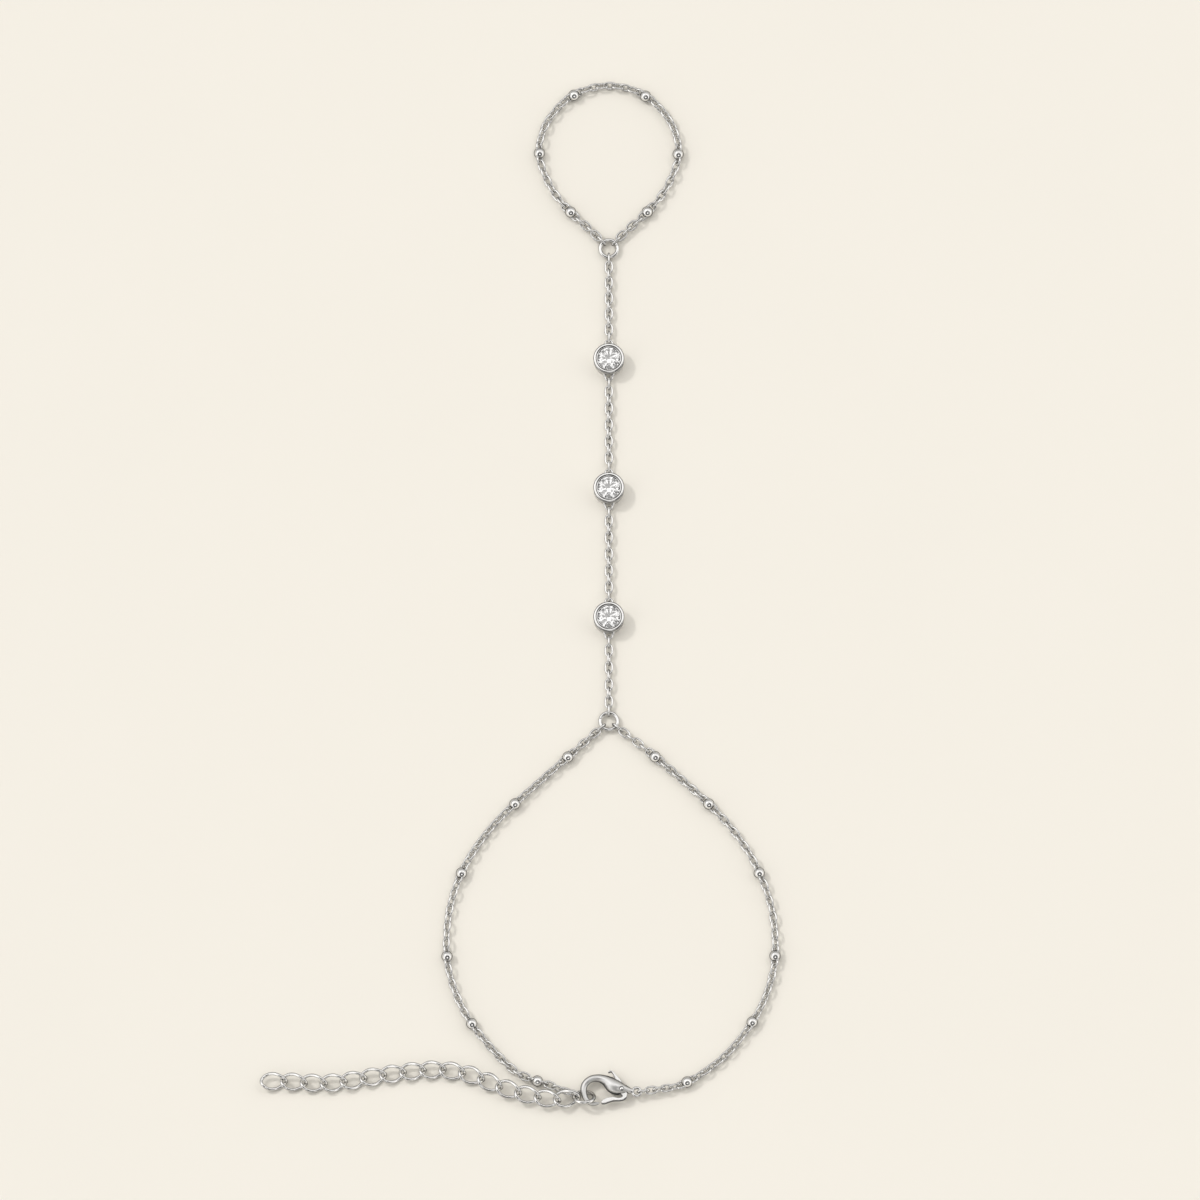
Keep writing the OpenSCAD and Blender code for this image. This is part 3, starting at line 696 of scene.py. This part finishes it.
def cast(forms, grain, cuts=(), swell=0, rounds=0):
    """Forms in millimetres run together as one solid. The cuts are taken out of it, and then
    its edges are rounded. A swell moves its surface out."""
    made = []

    def raw(form):
        mesh = bpy.data.meshes.new("raw")
        mesh.from_pydata([tuple(p) for p in form[0]], [], form[1])
        made.append(bpy.data.objects.new("raw", mesh))
        bpy.context.scene.collection.objects.link(made[-1])
        return made[-1]

    solid = raw(gathered(forms))
    melt = solid.modifiers.new("melt", "REMESH")
    melt.voxel_size = grain
    for cut in cuts:
        saw = solid.modifiers.new("saw", "BOOLEAN")
        saw.operation = "DIFFERENCE"
        saw.solver = "MANIFOLD"
        saw.object = raw(cut)
    if cuts:
        again = solid.modifiers.new("again", "REMESH")
        again.voxel_size = grain
    if swell:
        grow = solid.modifiers.new("grow", "DISPLACE")
        grow.mid_level = 0
        grow.strength = swell
    if rounds:
        tumble = solid.modifiers.new("tumble", "SMOOTH")
        tumble.factor = TUMBLE
        tumble.iterations = rounds
    shape = solid.evaluated_get(bpy.context.evaluated_depsgraph_get()).to_mesh()
    points = np.empty(len(shape.vertices) * 3, np.float32)
    shape.vertices.foreach_get("co", points)
    faces = [tuple(face.vertices) for face in shape.polygons]
    for thing in made:
        mesh = thing.data
        bpy.data.objects.remove(thing)
        bpy.data.meshes.remove(mesh)
    return points.reshape(-1, 3).astype(float), faces


def round_bar(radius, half_length, flats):
    """A plain round bar along z, in millimetres."""
    return upright(spun([(-half_length, radius), (half_length, radius)], flats))


def at_clasp(form):
    """A form in millimetres from the middle of the clasp's eye, put in its place."""
    return clasp_at + form[0] * MILLIMETRE, form[1]


rivet_low, rivet_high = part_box("clasp_rivet")
rivet_at = np.array((rivet_low + rivet_high) / 2)
rivet_in_clasp = np.array(RIVET_SHARE) * CLASP_LENGTH
clasp_at = rivet_at - rivet_in_clasp * MILLIMETRE
lever_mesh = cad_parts["clasp_lever"].data
lever_form = ((node_points("clasp_lever") - clasp_at) / MILLIMETRE,
              [tuple(face.vertices) for face in lever_mesh.polygons])
boss_form = moved(round_bar(SLOT_BOSS_RADIUS, SLOT_BOSS_HALF, SLOT_BOSS_FLATS), rivet_in_clasp)
roomy_lever = cast([lever_form, boss_form], CAST_GRAIN, swell=SLOT_PLAY)
swept = []
for step in range(SLOT_STEPS + 1):
    swing = np.array(Matrix.Rotation(-LEVER_SWING * step / SLOT_STEPS, 3, "Z"))
    swept.append((rivet_in_clasp + (roomy_lever[0] - rivet_in_clasp) @ swing.T, roomy_lever[1]))
slot_room = cast(swept, CAST_GRAIN)
rivet_room = moved(round_bar(RIVET_HOLE, RIVET_HOLE_HALF, RIVET_HOLE_FLATS), rivet_in_clasp)
around = np.arange(EYE_STEPS) * 2 * math.pi / EYE_STEPS
eye_out = np.stack([np.cos(around), np.sin(around), 0 * around], 1)
eye_ring = bent_wire(EYE_RADIUS * eye_out, eye_out, np.full((EYE_STEPS, 2), EYE_WIRE), EYE_FLATS)
body = cast([claw(), eye_ring], CAST_GRAIN, cuts=(slot_room, rivet_room), rounds=CAST_ROUNDS)
clasp_silver = silver("clasp_silver", roughness=(0.36, 0.46), mark_size=0.0002,
                      mark_depth=0.000004, shade_reach=0.0006, edge=(0.18, 0.64))
piece = add_piece("clasp_body_cast", at_clasp(body), clasp_silver)
piece.data.materials.append(ring_silver)
polished = 1
for face in piece.data.polygons:
    if (face.center - Vector(clasp_at)).length < EYE_POLISH:
        face.material_index = polished
sets_in(piece, "clasp_body")

# Clasp lever. It is stamped from sheet in one with its curled trigger, its edges are tumbled
# round, and it turns on the rivet. A spring inside the body holds its gate on the claw.
LEVER_GRAIN = 0.03
LEVER_ROUNDS = 22

lever = cast([lever_form], LEVER_GRAIN, rounds=LEVER_ROUNDS)
lever_silver = silver("lever_silver", roughness=(0.16, 0.26), mark_size=0.00015,
                      mark_depth=0.000005, shade_reach=0.0006, edge=(0.08, 0.5))
piece = add_piece("clasp_lever_stamped", at_clasp(lever), lever_silver)
sets_in(piece, "clasp_lever", body="lever")

# Rivet. A silver pin goes through the clasp's body and the lever, and its ends are headed
# over and polished until they are almost flush.
RIVET_EDGE = 0.00009
RIVET_EDGE_POINTS = 7
RIVET_DOME = 0.00004
RIVET_MIDDLE = 0.00001
RIVET_FLATS = 64
# How far the dome has dropped half way out, as a share of the whole drop
RIVET_DOME_SAG = 0.25

rivet_radius = (rivet_high.x - rivet_low.x) / 2
rivet_half = (rivet_high.z - rivet_low.z) / 2
end = [(rivet_half, RIVET_MIDDLE), (rivet_half - RIVET_DOME * RIVET_DOME_SAG, rivet_radius / 2)]
end += [(rivet_half - RIVET_DOME - RIVET_EDGE * (1 - math.cos(a)),
         rivet_radius - RIVET_EDGE * (1 - math.sin(a)))
        for a in np.linspace(0, math.pi / 2, RIVET_EDGE_POINTS)]
pin = spun([(-along, radius) for along, radius in end] + end[::-1], RIVET_FLATS)
piece = add_piece("rivet_pin", moved(upright(pin), rivet_at), lever_silver)
sets_in(piece, "clasp_rivet")

# Table. A plain cream surface, matt, with the faintest unevenness of tone.
TABLE_HALF = 0.9
CREAM = (0.9, 0.868, 0.8, 1)
CREAM_SHADE = (0.885, 0.854, 0.786, 1)
TABLE_ROUGHNESS = 0.85
TABLE_SHEEN = 0.1
MOTTLE_SIZE = 0.03
MOTTLE_DETAIL = 4

tabletop = bpy.data.materials.new("cream_tabletop")
tabletop.use_nodes = True
nodes, links = tabletop.node_tree.nodes, tabletop.node_tree.links
nodes["Principled BSDF"].inputs["Roughness"].default_value = TABLE_ROUGHNESS
nodes["Principled BSDF"].inputs["Specular IOR Level"].default_value = TABLE_SHEEN
place = nodes.new("ShaderNodeTexCoord")
mottle = spots(nodes, links, place.outputs["Object"], MOTTLE_SIZE, MOTTLE_DETAIL)
tone = blended(nodes, links, mottle.outputs["Fac"], CREAM, CREAM_SHADE)
links.new(tone, nodes["Principled BSDF"].inputs["Base Color"])
top = bpy.data.meshes.new("table")
top.from_pydata([(-TABLE_HALF, -TABLE_HALF, 0), (TABLE_HALF, -TABLE_HALF, 0),
                 (TABLE_HALF, TABLE_HALF, 0), (-TABLE_HALF, TABLE_HALF, 0)], [], [(0, 1, 2, 3)])
top.materials.append(tabletop)
table = bpy.data.objects.new("table", top)
bpy.context.scene.collection.objects.link(table)

# Light. A bright room, darker toward its far side, with the dark ring of the camera stand
# above and a faint window on the sun's side. A sun from the upper left and a wide ceiling
# light fall on the table, and neither lamp shows in the metal.
ROOM_LIGHT = 1.15
ROOM_TINT = (1, 0.985, 0.96)
STAND_WAY = (0.15, -0.66, 0.73)
# How bright the room is at these degrees from the stand's middle
ROOM_BANDS = ((0, 1.0), (13, 1.0), (19, 0.08), (44, 0.08), (51, 0.86), (60, 0.98),
              (74, 0.92), (95, 0.5), (130, 0.28))
WINDOW_GLOW = 0.55
# How bright the window is at these degrees from the sun
WINDOW_BANDS = ((0, 1), (9, 0.9), (20, 0))
LAMP_TINT = (1, 0.98, 0.95)
SUN_WAY = (-0.64, 0.40, 0.83)
SUN_POWER = 0.71
SUN_ANGLE = math.radians(6)
CEILING_WAY = (0, 0, 1)
CEILING_POWER = 0.61
CEILING_ANGLE = math.radians(110)

room = bpy.data.worlds.new("room")
room.use_nodes = True
bpy.context.scene.world = room
nodes, links = room.node_tree.nodes, room.node_tree.links
place = nodes.new("ShaderNodeTexCoord")


def angle_from(way):
    """The angle between a direction and way, as a share of a half turn."""
    near = nodes.new("ShaderNodeVectorMath")
    near.operation = "DOT_PRODUCT"
    near.inputs[1].default_value = Vector(way).normalized()
    links.new(place.outputs["Generated"], near.inputs[0])
    angle = nodes.new("ShaderNodeMath")
    angle.operation = "ARCCOSINE"
    links.new(near.outputs["Value"], angle.inputs[0])
    share = nodes.new("ShaderNodeMath")
    share.operation = "DIVIDE"
    share.inputs[1].default_value = math.pi
    links.new(angle.outputs["Value"], share.inputs[0])
    return share.outputs["Value"]


def banded(share, tones):
    """Bands of light, each at so many degrees and so bright."""
    bands = nodes.new("ShaderNodeValToRGB")
    links.new(share, bands.inputs["Fac"])
    ramp = bands.color_ramp
    while len(ramp.elements) < len(tones):
        ramp.elements.new(0.5)
    for element, (degrees, tone) in zip(ramp.elements, tones):
        element.position = degrees / 180
        element.color = [tone * tint for tint in ROOM_TINT] + [1]
    return bands.outputs["Color"]


overhead = banded(angle_from(STAND_WAY), ROOM_BANDS)
glow = banded(angle_from(SUN_WAY), WINDOW_BANDS)
total = nodes.new("ShaderNodeMix")
total.data_type = "RGBA"
total.blend_type = "ADD"
total.inputs["Factor"].default_value = WINDOW_GLOW
links.new(overhead, total.inputs["A"])
links.new(glow, total.inputs["B"])
links.new(total.outputs["Result"], nodes["Background"].inputs["Color"])
nodes["Background"].inputs["Strength"].default_value = ROOM_LIGHT

for name, way, power, angle in (("sun", SUN_WAY, SUN_POWER, SUN_ANGLE),
                                ("ceiling", CEILING_WAY, CEILING_POWER, CEILING_ANGLE)):
    lamp = bpy.data.lights.new(name, "SUN")
    lamp.angle = angle
    lamp.energy = power
    lamp.color = LAMP_TINT
    light = bpy.data.objects.new(name, lamp)
    bpy.context.scene.collection.objects.link(light)
    light.rotation_euler = Vector(way).to_track_quat("Z", "Y").to_euler()
    light.visible_glossy = False

# Camera. It looks down almost straight from above on the hand chain's line, through a lens so
# long that there is hardly any perspective.
FRAME_WIDTH = 0.1714
LOOKS_AT = (-0.00126, -0.01605, 0)
ELEVATION = math.radians(77)
LENS = 1500

lens = bpy.data.cameras.new("camera")
lens.lens = LENS
camera = bpy.data.objects.new("camera", lens)
bpy.context.scene.collection.objects.link(camera)
camera_way = Vector((0, -math.cos(ELEVATION), math.sin(ELEVATION)))
camera_away = FRAME_WIDTH * LENS / lens.sensor_width
camera.location = Vector(LOOKS_AT) + camera_way * camera_away
camera.rotation_euler = camera_way.to_track_quat("Z", "Y").to_euler()
bpy.context.scene.camera = camera
bpy.context.scene.view_settings.view_transform = "Standard"
